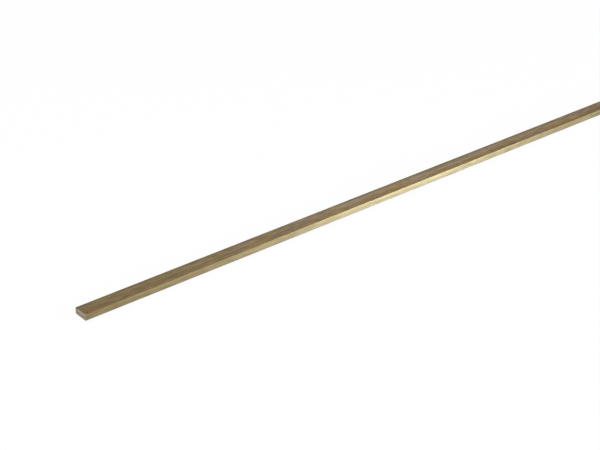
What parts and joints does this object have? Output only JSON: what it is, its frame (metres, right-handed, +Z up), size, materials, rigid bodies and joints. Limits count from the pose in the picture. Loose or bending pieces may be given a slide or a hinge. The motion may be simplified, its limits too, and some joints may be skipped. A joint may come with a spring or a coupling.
{
  "type": "brass flat bar",
  "caption": "Solid drawn brass flat bar of plain rectangular section, with crisp, slightly rounded long edges and square-sawn, deburred ends.",
  "frame": {"origin": "centre of the underside, the lower wide face, at mid length", "axes": "+X along the bar, +Y across its width, +Z up through its thickness; the end that the picture shows is at -X, and the long edge that faces the viewer is at -Y"},
  "size_m": [1, 0.01, 0.004],
  "materials": {
    "drawn_brass": "as-drawn mill finish, satin along the draw lines, lightly tarnished on the wide faces, with bright sawn and filed ends"
  },
  "bodies": {
    "root": {"flat_bar": "drawn_brass"}
  },
  "joints": []
}
